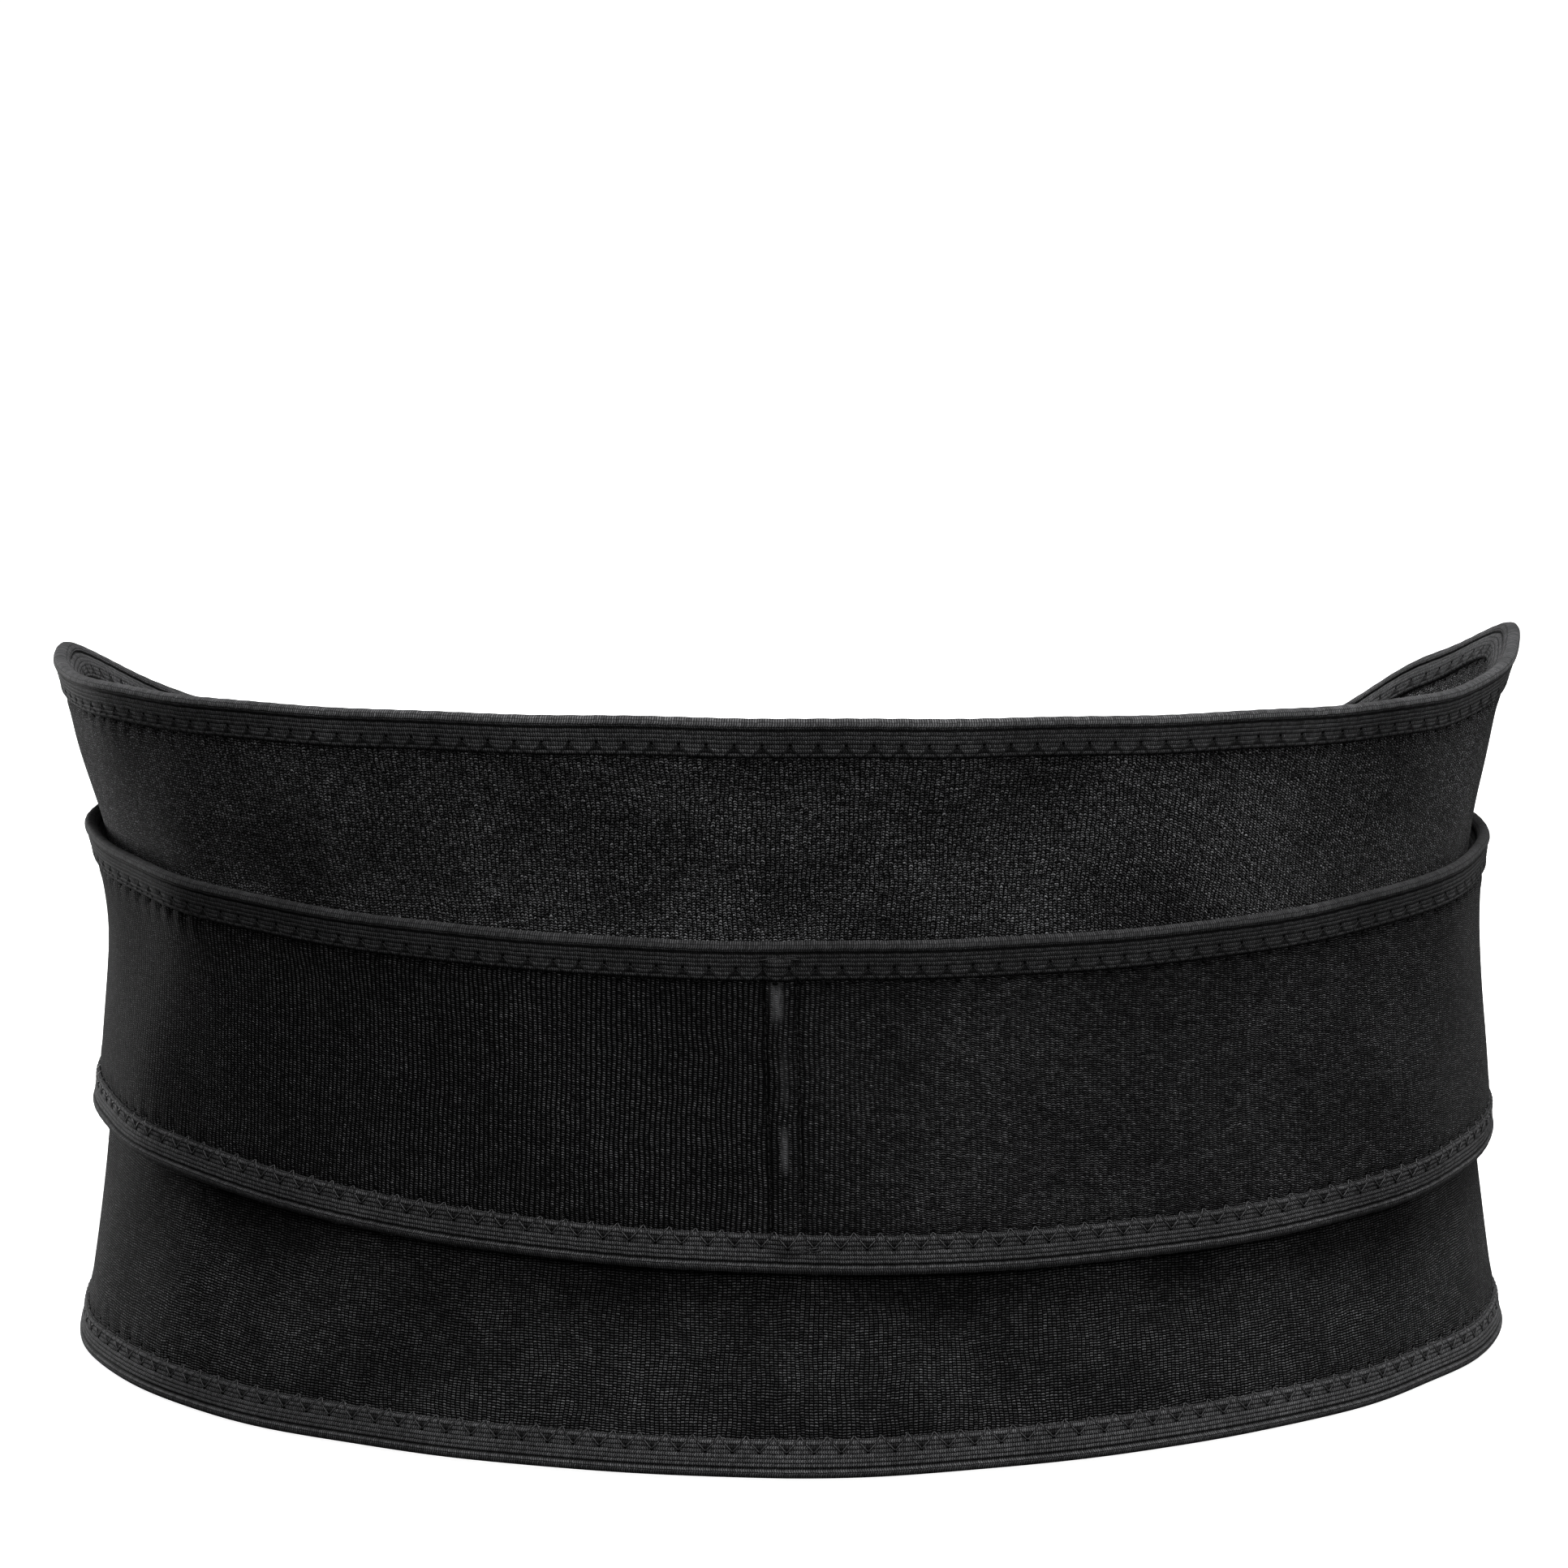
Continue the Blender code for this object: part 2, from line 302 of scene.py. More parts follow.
def tape_section(back, face):
    """The closed outline of a tape folded over an edge: (distance from the rim, offset, side), from the
    inner leg's cut edge over the fold to the outer leg's, then back along the inside of the fold."""
    near_rim = [3.05, 2.85, 2.6, 2.4, 2.15, 1.8, 1.4, 1.0, 0.65, 0.35, 0.1]
    d = np.concatenate([np.arange(TAPE_WIDTH, 3.2, -RIB / 4), near_rim])
    mid, half = (face + back + pinch(d)) / 2, (face - back - pinch(d)) / 2
    roll = np.sqrt(np.clip(1 - (1 - np.clip(d / ROLL, 0, 1)) ** 2, 0, 1))
    reach = np.where(d < ROLL, (half + TAPE_THICK + ROLL_EXTRA) * roll, half + leg(d))
    inner_side = np.stack([d, mid - reach, -np.ones_like(d)], 1)
    outer_side = np.stack([d, mid + reach, np.ones_like(d)], 1)[::-1]
    crossing = np.concatenate([inner_side, [[0.0, (face + back + pinch(0.0)) / 2, 0.0]], outer_side])
    hug, turned = 0.03, 0.14  # the gap to the cloth, and the share of the outline at the fold
    t = np.linspace(-1, 1, len(crossing))
    d_in = np.clip(TAPE_WIDTH * np.abs(t), FOLD - 0.35, TAPE_WIDTH)
    squeezed = pinch(d_in)
    o_in = np.where(t < 0, back - hug + squeezed, face + hug)
    across = (face + back + squeezed) / 2 + ((face - back - squeezed) / 2 + hug) * t / turned
    o_in = np.where(np.abs(t) < turned, across, o_in)
    inside = np.stack([d_in, o_in, np.sign(t)], 1)[::-1]
    return np.concatenate([crossing, inside])


def edge_run(psi, limits, up):
    """A run along one rim: rows as tip_run gives them."""
    low, high = limits(psi)
    z = high if up > 0 else low
    return np.stack([arc(psi), z, np.zeros_like(psi), np.full_like(psi, up), arc(psi)], 1)


def tip_run(start, tip, limits, corner):
    """Rim points from start along the top, round the tip and back along the bottom, as (arc, height,
    outward along, outward up, length along the tape)."""
    side = 1 if tip > 0 else -1
    centre = float(arc(tip)) - side * corner
    run = stations(start, float(angle(centre)))
    low, high = (float(v) for v in limits(np.array(float(tip))))
    turn = np.radians(np.linspace(0, 90, 19))[1:]
    top = edge_run(run, limits, 1.0)
    sin, cos = np.sin(turn), np.cos(turn)
    round_top = np.stack([centre + side * corner * sin, high - corner + corner * cos, side * sin, cos], 1)
    down = np.linspace(high - corner, low + corner, 2 + int((high - low - 2 * corner) / 1.5))[1:-1]
    far = centre + side * corner
    down = np.stack([np.full_like(down, far), down, np.full_like(down, float(side)), np.zeros_like(down)], 1)
    sin, cos = sin[::-1], cos[::-1]
    round_bottom = np.stack([centre + side * corner * sin, low + corner - corner * cos, side * sin, -cos], 1)
    bottom = edge_run(run[::-1], limits, -1.0)
    middle = np.concatenate([round_top, down, round_bottom])
    joined = np.concatenate([top[-1:, :4], middle, bottom[:1, :4]])
    gaps = np.hypot(*np.diff(joined[:, :2], axis=0).T)
    along = side * np.cumsum(gaps) + top[-1, 4]
    turned = along[-1] - top[-1, 4]
    beats = round((turned + 2 * top[-1, 4]) / PITCH) * PITCH - 2 * top[-1, 4]
    along = top[-1, 4] + (along - top[-1, 4]) * beats / turned
    middle = np.concatenate([middle, along[:-1, None]], 1)
    bottom[:, 4] = along[-1] + (bottom[0, 4] - bottom[:, 4])
    return np.concatenate([top, middle, bottom])


def on_tape(run, d, off):
    """Points at distances d from the rim and offsets, for each row of a run."""
    u = run[:, 0, None] - run[:, 2, None] * d
    z = run[:, 1, None] - run[:, 3, None] * d
    return surface(angle(u), z, off)


def tape(name, run, back, face, material, relief=None):
    """A folded tape along a run, drawn in at the zigzag's teeth."""
    section = tape_section(back, face)
    d, o, side = section.T
    d, o = np.broadcast_to(d, (len(run), len(d))), np.broadcast_to(o, (len(run), len(o))).copy()
    wave = 0.5 + 0.5 * np.cos(2 * np.pi * run[:, 4, None] / PITCH)
    pull = 0.4 * np.exp(-((d - TOOTH_NEAR) / 0.7) ** 2) * wave**2
    pull = pull + 0.25 * np.exp(-((d - TAPE_WIDTH) / 0.6) ** 2) * (1 - wave) ** 2
    half = len(section) // 2
    pull[:, half:] = 0
    o -= pull * side
    if relief:
        o += relief(run[:, 4, None], run[:, 1, None] - run[:, 3, None] * d) * (side > 0)
    slack = 0.05 * np.sin(2 * np.pi * run[:, 4] / PITCH + 1.2) + 0.1 * np.sin(run[:, 4] / 7.3)
    rim = run.copy()
    rim[:, 0] += rim[:, 2] * slack
    rim[:, 1] += rim[:, 3] * slack * (np.abs(rim[:, 1]) > 4.5)
    uv = np.stack([np.broadcast_to(run[:, 4, None], d.shape), d * np.where(side == 0, 1, side)], -1) / MM
    return swept(name, on_tape(rim, d, o), uv, material)


# Thread

def closed_pieces(name, rings, materials, kinds):
    """Many small closed bodies in one mesh. rings is a list of (bodies, rings, sides, 3) arrays, and kinds
    has the material index of each."""
    verts, faces, slots, base = [], [], [], 0
    for group, kind in zip(rings, kinds):
        count, n, sides = group.shape[:3]
        i, j = np.meshgrid(np.arange(n - 1), np.arange(sides), indexing="ij")
        i, j = i.ravel(), j.ravel()
        side = np.stack([i * sides + j, i * sides + (j + 1) % sides, (i + 1) * sides + (j + 1) % sides,
                         (i + 1) * sides + j], 1)
        q = np.arange(sides // 2 - 1)
        cap = np.stack([q, sides - 1 - q, sides - 2 - q, q + 1], 1)
        one = np.concatenate([side, cap, cap[:, ::-1] + (n - 1) * sides])
        all_faces = (one[None] + (np.arange(count) * n * sides)[:, None, None] + base).reshape(-1, 4)
        verts.append(group.reshape(-1, 3))
        faces.append(all_faces)
        slots.append(np.full(len(all_faces), kind))
        base += count * n * sides
    verts = np.concatenate(verts)
    obj = shade_and_link(name, verts, np.concatenate(faces), np.zeros((len(verts), 2)), materials[0])
    for extra in materials[1:]:
        obj.data.materials.append(extra)
    obj.data.polygons.foreach_set("material_index", np.concatenate(slots))
    return obj


def thread_rings(paths, radius, sides=6):
    """Rings round many short paths at once: (paths, points, 3) to (paths, points, sides, 3)."""
    ahead = np.gradient(paths, axis=1)
    ahead /= np.linalg.norm(ahead, axis=-1, keepdims=True) + 1e-9
    side = np.cross(ahead, [0.0013, 0.0007, 1.0])
    flat = np.linalg.norm(side, axis=-1, keepdims=True) < 0.2
    side = np.where(flat, np.cross(ahead, [1.0, 0.3, 0.0]), side)
    side /= np.linalg.norm(side, axis=-1, keepdims=True) + 1e-9
    up = np.cross(side, ahead)
    turn = np.arange(sides) * 2 * np.pi / sides
    slim = radius * np.concatenate([[0.7], np.ones(paths.shape[1] - 2), [0.7]])[None, :, None, None]
    round_path = side[:, :, None] * np.cos(turn)[:, None] + up[:, :, None] * np.sin(turn)[:, None]
    return paths[:, :, None] + slim * round_path


def pit_shade_rings(middle, across, up, out, wide, tall=0.42, sides=8):
    """Flat dark lenses of painted shade at the needle's holes: three rings each."""
    turn = np.arange(sides) * 2 * np.pi / sides
    size = np.array([0.55, 1.0, 0.55])[None, :, None, None]
    lift = np.array([-0.10, -0.02, 0.06])[None, :, None, None]
    ring = across[:, None, None] * wide * np.cos(turn)[:, None]
    ring = ring + up[:, None, None] * tall * np.sin(turn)[:, None]
    return middle[:, None, None] + ring * size + out[:, None, None] * lift


def along_run(run, length):
    """The run's rows at given lengths along its tape."""
    side = 1 if run[-1, 4] > run[0, 4] else -1
    return np.stack([np.interp(side * length, side * run[:, 4], run[:, c]) for c in range(5)], -1)


def zigzag(name, run, back, face, cut=0.0, relief=None):
    """The zigzag thread over a tape's cut edge, on both faces, with dark lenses of painted shade at its
    teeth, where the needle's holes dimple the tape.
    """
    first, last = sorted((run[0, 4], run[-1, 4]))
    teeth = np.arange(math.ceil((first + cut) / (PITCH / 2)), math.floor((last - cut) / (PITCH / 2)) + 1)
    share = np.array([0.03, 0.16, 0.5, 0.84, 0.97])
    lift = np.array([-0.22, 0.12, 0.2, 0.12, -0.22])
    length = (teeth[:-1, None] + share[None]) * PITCH / 2
    even = (teeth[:-1] % 2 == 0)[:, None]
    swing = (TOOTH_FAR - TOOTH_NEAR) * share
    d = np.where(even, TOOTH_NEAR + swing, TOOTH_FAR - swing)
    rows = along_run(run, length)
    u, z = rows[..., 0] - rows[..., 2] * d, rows[..., 1] - rows[..., 3] * d
    rings, kinds = [], []
    near = teeth % 2 == 0
    tooth_d = np.where(near, TOOTH_NEAR - 0.15, TOOTH_FAR + 0.1)
    spots = along_run(run, teeth * PITCH / 2)
    su, sz = spots[:, 0] - spots[:, 2] * tooth_d, spots[:, 1] - spots[:, 3] * tooth_d
    for side, base in ((1, face), (-1, back)):
        stand = np.where(d < TAPE_WIDTH, leg(np.minimum(d, TAPE_WIDTH - 0.45)), 0.0)
        bump = relief(u, z) if relief and side > 0 else 0.0
        upper = rows[:, 2, 3] > 0.3
        stand = stand + np.where(upper[:, None], 0.35 * lift - 0.03, lift)
        paths = surface(angle(u), z, base + side * stand + bump)
        # The upper rims take the darker thread, painted shade where it sinks into the tape.
        for kind, chosen in ((0, ~upper), (2, upper)):
            if chosen.any():
                rings.append(thread_rings(paths[chosen], THREAD_RADIUS))
                kinds.append(kind)
        # Dark lenses at the teeth: painted shade in the dimples of the needle's holes.
        stand = np.where(tooth_d < TAPE_WIDTH, TAPE_THICK - 0.32, -0.42 if side > 0 else -0.3)
        bump = relief(su, sz) if relief and side > 0 else 0.0
        off = base + side * stand + bump
        middle = surface(angle(su), sz, off)
        out = surface(angle(su), sz, off + side) - middle
        across = surface(angle(su + 1), sz, off) - middle
        up = surface(angle(su), sz + 1, off) - middle
        rings.append(pit_shade_rings(middle, across, up, out, np.where(near, 0.5, 0.95)[:, None, None, None]))
        kinds.append(1)
    return closed_pieces(name, rings, [THREAD, PIT_SHADE, SHADED_THREAD], kinds)


def dashes(points, long, gap=0.55, sink=0.16):
    """Short straight stitches along a line of (arc, height, offset) points, as paths of the same."""
    points = np.asarray(points, float)
    run = np.concatenate([[0], np.cumsum(np.linalg.norm(np.diff(points[:, :2], axis=0), axis=1))])
    count = max(1, int((run[-1] + gap) / (long + gap)))
    step = (run[-1] + gap) / count
    at = (np.arange(count) * step)[:, None] + np.array([0.0, 0.12, 0.5, 0.88, 1.0])[None] * (step - gap)
    path = np.stack([np.interp(at, run, points[:, c]) for c in range(3)], -1)
    path[..., 2] += np.array([-sink, 0.08, 0.13, 0.08, -sink]) * (-1 if points[0, 2] < 0 else 1)
    return path


def lockstitch(name, lines, long=2.3, thread=None):
    """Rows of straight stitches along lines of (arc, height, offset) points."""
    paths = [dashes(line, long) for line in lines]
    groups = [thread_rings(surface(angle(p[..., 0]), p[..., 1], p[..., 2]), SEAM_RADIUS) for p in paths]
    return closed_pieces(name, groups, [thread or THREAD], [0] * len(groups))


def outline(u0, u1, z0, z1, off, inset):
    """A rectangle's stitch lines, inset from its edges, with a point each 1.5 mm."""
    a, b, c, d = u0 + inset, u1 - inset, z0 + inset, z1 - inset
    corners = np.array([(a, c), (b, c), (b, d), (a, d), (a, c)])
    lines = []
    for p, q in zip(corners[:-1], corners[1:]):
        n = max(2, int(np.linalg.norm(q - p) / 1.5))
        lines.append([(*(p + (q - p) * t), off) for t in np.linspace(0, 1, n)])
    return lines


# Materials

class Nodes:
    """A material's node tree, with short ways to add to it."""

    def __init__(self, name, roughness, sheen, sheen_rough, specular, colour=(0.02, 0.02, 0.021)):
        self.mat = bpy.data.materials.new(name)
        self.mat.use_nodes = True
        self.mat.diffuse_color = (*colour, 1)
        self.tree = self.mat.node_tree
        self.shader = self.tree.nodes["Principled BSDF"]
        values = {"Roughness": roughness, "Sheen Weight": sheen, "Sheen Roughness": sheen_rough,
                  "Specular IOR Level": specular, "Base Color": (*colour, 1)}
        for key, value in values.items():
            self.shader.inputs[key].default_value = value

    def add(self, kind, inputs=(), out=0, **settings):
        node = self.tree.nodes.new(kind)
        for key, value in settings.items():
            setattr(node, key, value)
        for key, value in dict(inputs).items():
            if isinstance(value, bpy.types.NodeSocket):
                self.tree.links.new(value, node.inputs[key])
            else:
                node.inputs[key].default_value = value
        return node.outputs[out]

    def math(self, operation, a, b=0.0, c=0.0):
        return self.add("ShaderNodeMath", {0: a, 1: b, 2: c}, operation=operation)

    def vector(self, operation, a, b):
        return self.add("ShaderNodeVectorMath", {0: a, 1: b}, operation=operation)

    def cloth(self):
        """Cloth coordinates in millimetres."""
        uv = self.add("ShaderNodeUVMap", uv_map="cloth")
        return self.vector("MULTIPLY", uv, (MM, MM, 1.0))

    def object_place(self):
        """The point in the piece's own space, in metres."""
        return self.add("ShaderNodeTexCoord", out=3)

    def noise(self, where, scale, detail=2.0, out=0):
        inputs = {"Vector": where, "Scale": scale, "Detail": detail, "Roughness": 0.5}
        return self.add("ShaderNodeTexNoise", inputs, out=out)

    def drift(self, where, scale):
        """A wandering offset with no average."""
        return self.vector("SUBTRACT", self.noise(where, scale, 2.0, out=1), (0.5, 0.5, 0.5))

    def product(self, first, *others):
        for other in others:
            first = self.math("MULTIPLY", first, other)
        return first

    def distance(self, a, b):
        return self.math("ABSOLUTE", self.math("SUBTRACT", a, b))

    def split(self, where):
        node = self.tree.nodes.new("ShaderNodeSeparateXYZ")
        self.tree.links.new(where, node.inputs[0])
        return node.outputs[0], node.outputs[1]

    def scaled(self, vector, by):
        return self.add("ShaderNodeVectorMath", {0: vector, "Scale": by}, operation="SCALE")

    def random(self, a, b):
        """A number from 0 to 1 for each pair."""
        pair = self.add("ShaderNodeCombineXYZ", {0: a, 1: b})
        return self.add("ShaderNodeTexWhiteNoise", {"Vector": pair}, noise_dimensions="2D")

    def ramp(self, value, low, high, start=0.0, end=1.0):
        inputs = {"Value": value, "From Min": low, "From Max": high, "To Min": start, "To Max": end}
        return self.add("ShaderNodeMapRange", inputs, interpolation_type="SMOOTHSTEP")

    def mix_colour(self, share, a, b):
        return self.add("ShaderNodeMix", {0: share, 6: a, 7: b}, out=2, data_type="RGBA")

    def finish(self, colour=None, height=None, distance=0.0002, strength=1.0, roughness=None):
        if colour is not None:
            self.tree.links.new(colour, self.shader.inputs["Base Color"])
        if roughness is not None:
            self.tree.links.new(roughness, self.shader.inputs["Roughness"])
        if height is not None:
            bump = self.add("ShaderNodeBump", {"Height": height, "Distance": distance, "Strength": strength})
            self.tree.links.new(bump, self.shader.inputs["Normal"])
        return self.mat


def grey(value):
    return (value, value, value * 1.03, 1.0)


def knit(name, wale, course, bright, gap=0.001, arch=0.5, wobble=0.3, slip=0.25, spread=1.0, drift=1.0,
         grain=0.3, slant=0.0, loosen=None, ribbed=None, rubbed_shine=None):
    """A knit face: wales of small arched loops, wale by course millimetres each. Every loop has its own
    tone; each is palest at its crown and darkest in the gaps between loops, painted light and shade.
    Neighbouring wales slip past each other, and the whole wanders as fabric does. It gets looser and paler
    between the heights in loosen, more ribbed between the places in ribbed, and where streaks are given it
    has the channel's pale streaks, rubbed wear with a painted highlight, and painted shade along its seams."""
    n = Nodes(name, 0.85, 0.05, 0.3, 0.04)
    mm = n.cloth()
    flat_x, flat_z = n.split(mm)
    small, wide = n.drift(mm, 0.6), n.drift(mm, 0.045)
    if loosen:
        start, end, paler = loosen
        loose = n.ramp(flat_z, start, end)
        small = n.scaled(small, n.math("MULTIPLY_ADD", loose, 1.4, 0.6))
    where = n.vector("ADD", mm, n.vector("MULTIPLY", small, (wobble * 1.6, wobble * 2.0, 0)))
    where = n.vector("ADD", where, n.vector("MULTIPLY", wide, (5.0 * drift, 4.0 * drift, 0)))
    x, z = n.split(where)
    wales = n.math("DIVIDE", x, wale)
    column = n.math("FLOOR", wales)
    fx = n.math("SUBTRACT", n.math("FRACT", wales), 0.5)
    moved = n.product(n.random(column, 3.7), slip)
    bow = n.product(fx, fx, 4 * arch)
    if loosen:
        bow = n.product(bow, n.math("MULTIPLY_ADD", loose, 0.8, 0.2))
        slant = n.product(n.ramp(flat_x, 45.0, 95.0, 0.0, 0.9), loose)
    courses = n.math("ADD", n.math("ADD", n.math("DIVIDE", z, course), moved),
                     n.math("MULTIPLY_ADD", fx, slant, bow))
    fz = n.distance(n.math("FRACT", courses), 0.5)
    tone = n.random(column, n.math("FLOOR", courses))
    tone = n.math("MULTIPLY_ADD", n.math("POWER", tone, 1.6), 1.5 * spread, 1.0 - 0.58 * spread)
    crown, edge = (0.1, 0.42) if ribbed else (0.28, 0.47)
    beside = n.ramp(n.math("ABSOLUTE", fx), crown, edge, 1.0, 0.0)
    if ribbed:
        beside = n.math("MAXIMUM", beside, n.ramp(flat_x, *ribbed, 0.0, 0.55))
    loop = n.product(beside, n.ramp(fz, 0.08, 0.38, 1.0, 0.0))
    fibre = n.ramp(n.noise(mm, 3.0), 0.3, 0.7, 0.45, 1.55)
    least, most = (0.6, 1.35) if loosen else (0.82, 1.18)
    patch = n.ramp(n.noise(mm, 0.03), 0.3, 0.7, least, most)
    patch = n.product(patch, n.ramp(n.noise(mm, 0.25), 0.3, 0.7, 0.8, 1.2))
    coarse = n.noise(n.vector("MULTIPLY", mm, (1.5, 0.85, 1.0)), 1.0)
    coarse = n.ramp(coarse, 0.34, 0.66, -grain, grain)
    if loosen:
        patch = n.product(patch, n.math("MULTIPLY_ADD", loose, paler, 1.0))
        coarse = n.product(coarse, n.math("MULTIPLY_ADD", loose, 0.75, 0.25))
    patch = n.product(patch, n.math("ADD", coarse, 1.0))
    # Each loop palest at its crown, the gap colour between loops: painted light and shade over each loop's
    # own tone.
    share = n.product(n.product(loop, tone), n.product(fibre, patch))
    colour = n.mix_colour(n.product(share, 0.2), grey(gap), grey(bright * 5))
    # The channel's pale streaks, rubbed wear with a painted highlight, and the painted shade of its seams.
    if rubbed_shine:
        colour = channel_shine_and_shade(n, mm, flat_x, flat_z, colour, rubbed_shine, gap)
    return n.finish(colour, n.math("ADD", loop, n.product(fibre, 0.25)), 0.00018)


def channel_shine_and_shade(n, mm, flat_x, flat_z, colour, rubbed_shine, gap):
    """Pale streaks over the stay in the channel, rubbed wear with a painted highlight, and painted shade
    in the grooves of its two seams. Each streak is (height, half its length, sideways, half its width,
    strength)."""
    lean = n.math("MULTIPLY_ADD", flat_z, CHANNEL_LEAN, -0.1 - CHANNEL_FOOT * CHANNEL_LEAN)
    from_middle = n.math("ADD", flat_x, lean)
    total = 0.0
    for middle, half, aside, wide_half, amount in rubbed_shine:
        along, side = n.distance(flat_z, middle), n.distance(from_middle, aside)
        spot = n.product(n.ramp(along, half, half * 0.2, 0.0, amount), n.ramp(side, wide_half, 0.1))
        total = n.math("ADD", total, spot)
    streak = n.noise(n.vector("MULTIPLY", mm, (2.2, 0.35, 1.0)), 1.0, 3.0)
    streak = n.ramp(streak, 0.25, 0.75, 0.35, 1.0)
    # Pale streaks over the stay: painted highlight where it presses the cloth up, with rubbed wear.
    colour = n.mix_colour(n.product(total, streak), colour, grey(0.16))
    # Painted shade in the grooves of the channel's two seams.
    seam = n.ramp(n.distance(n.math("ABSOLUTE", from_middle), CHANNEL_HALF), 0.2, 0.95, 0.8, 0.0)
    seam = n.product(seam, n.math("LESS_THAN", n.distance(flat_z, 90.0), 35.5))
    return n.mix_colour(seam, colour, grey(gap))


def ribbed_tape(name, bright, dark=0.002):
    """Knit binding: a rolled rim of fine upright stitches, then lengthwise rows of V stitches, each with its
    own tone and palest at its crest, with painted shade in the folds between rows and in the groove behind
    the roll. The zigzag sinks into it, and painted shade lies beside the thread, most at the teeth."""
    n = Nodes(name, 0.8, 0.03, 0.3, 0.08)
    mm = n.cloth()
    along, across = n.split(mm)
    across = n.math("ABSOLUTE", across)
    roll = n.ramp(across, 1.2, 1.5, 1.0, 0.0)
    wander = n.product(n.math("SUBTRACT", n.noise(mm, 0.45), 0.5), 0.4)
    ribs = n.math("DIVIDE", n.math("ADD", n.math("ADD", across, wander), 0.3), RIB)
    fold = n.distance(n.math("FRACT", ribs), 0.5)
    phase = n.math("DIVIDE", n.math("ADD", along, n.product(wander, 0.6)), 0.53)
    phase = n.math("ADD", phase, n.product(fold, n.math("SUBTRACT", 1.0, roll)))
    stitch = n.distance(n.math("FRACT", phase), 0.5)
    tone = n.math("MULTIPLY_ADD", n.random(n.math("FLOOR", phase), n.math("FLOOR", ribs)), 0.7, 0.65)
    leg_share = n.ramp(stitch, 0.12, 0.42, 1.0, 0.0)
    crest = n.math("MAXIMUM", n.ramp(fold, 0.32, 0.5, 1.0, 0.15), n.product(roll, 0.5))
    height = n.product(n.math("MULTIPLY_ADD", leg_share, 0.8, 0.2), crest)
    # Palest at each stitch's crest, with painted shade in the folds between rows and in the groove behind the
    # roll, over each stitch's own tone.
    share = n.product(height, tone, n.ramp(n.noise(mm, 0.045), 0.3, 0.7, 0.8, 1.2),
                      n.ramp(n.noise(mm, 3.0), 0.3, 0.7, 0.7, 1.3),
                      n.ramp(n.distance(across, 2.62), 0.1, 0.4, 0.35, 1.0),
                      n.ramp(across, CUT_EDGE, TAPE_WIDTH, 1.0, 0.75))
    # Painted shade where the zigzag pulls the tape in: beside each leg of the thread, and in a small triangle
    # at each tooth.
    beat = n.math("PINGPONG", along, PITCH / 2)
    down = n.math("SUBTRACT", across, TOOTH_NEAR)
    beside = n.distance(beat, n.product(down, PITCH / 2 / (TOOTH_FAR - TOOTH_NEAR)))
    sunk = n.product(n.ramp(beside, 0.18, 0.55, 0.7, 0.0), n.ramp(down, -0.1, 0.25))
    tooth_shade = n.math("SUBTRACT", beat, n.math("MULTIPLY_ADD", down, 0.4, 0.3))
    tooth_shade = n.product(n.ramp(tooth_shade, -0.15, 0.25, 0.78, 0.0),
                      n.ramp(n.distance(down, 0.55), 0.75, 1.7, 1.0, 0.0))
    share = n.product(share, n.math("SUBTRACT", 1.0, n.math("MAXIMUM", sunk, tooth_shade)))
    colour = n.mix_colour(n.product(share, 0.5), grey(dark), grey(bright * 2))
    return n.finish(colour, height, 0.00018)


def thread_material(name, low, high):
    """Thread, with a tone that changes from strand to strand."""
    n = Nodes(name, 0.55, 0.03, 0.4, 0.2)
    tone = n.ramp(n.noise(n.object_place(), 2500.0), 0.3, 0.7)
    return n.finish(n.mix_colour(tone, grey(low), grey(high)))


# Near black: painted shade in the dimple at each needle's hole.
def pit_shade_material():
    n = Nodes("needle_hole_shade", 0.95, 0.0, 0.4, 0.0)
    return n.finish(n.mix_colour(n.noise(n.object_place(), 3000.0, 1.0), grey(0.0015), grey(0.006)))


def pile(name, light, dark, grain, distance, sheen):
    """Looped or napped pile: rounded tufts, with a lay that changes slowly."""
    n = Nodes(name, 0.9, sheen, 0.4, 0.06)
    mm = n.cloth()
    where = n.vector("ADD", mm, n.vector("MULTIPLY", n.drift(mm, 0.5), (0.8, 0.8, 0)))
    tuft = n.add("ShaderNodeTexVoronoi", {"Vector": where, "Scale": grain}, feature="F1")
    fuzz = n.noise(mm, grain * 2.6, 3.0)
    colour = n.mix_colour(n.ramp(tuft, 0.15, 0.75), grey(light), grey(dark))
    colour = n.mix_colour(n.ramp(n.noise(mm, 0.06, 3.0), 0.35, 0.7, 0.0, 0.45), colour, grey(light * 1.3))
    height = n.math("SUBTRACT", n.math("MULTIPLY", fuzz, 0.5), tuft)
    return n.finish(colour, height, distance)


def hooks(name):
    """Moulded hook tape: even rows of small stems with bright tips."""
    n = Nodes(name, 0.42, 0.0, 0.4, 0.5)
    mm = n.cloth()
    along, up = n.split(mm)
    a = n.math("SINE", n.product(along, 2 * math.pi / 1.6))
    b = n.math("SINE", n.product(up, 2 * math.pi / 1.25))
    stem = n.ramp(n.product(a, b), 0.15, 0.8)
    colour = n.mix_colour(stem, grey(0.006), grey(0.04))
    colour = n.mix_colour(n.ramp(n.noise(mm, 0.3, 2.0), 0.5, 0.8, 0.0, 0.35), colour, grey(0.02))
    return n.finish(colour, stem, 0.0004)


def brushed(name):
    n = Nodes(name, 0.35, 0.0, 0.4, 0.5, (0.4, 0.4, 0.42))
    n.shader.inputs["Metallic"].default_value = 1.0
    where = n.vector("MULTIPLY", n.object_place(), (1200.0, 1200.0, 40.0))
    scratch = n.noise(where, 1.0, 3.0)
    return n.finish(n.mix_colour(scratch, grey(0.3), grey(0.5)), scratch, 0.00005, 0.6,
                    n.ramp(scratch, 0.3, 0.7, 0.28, 0.5))


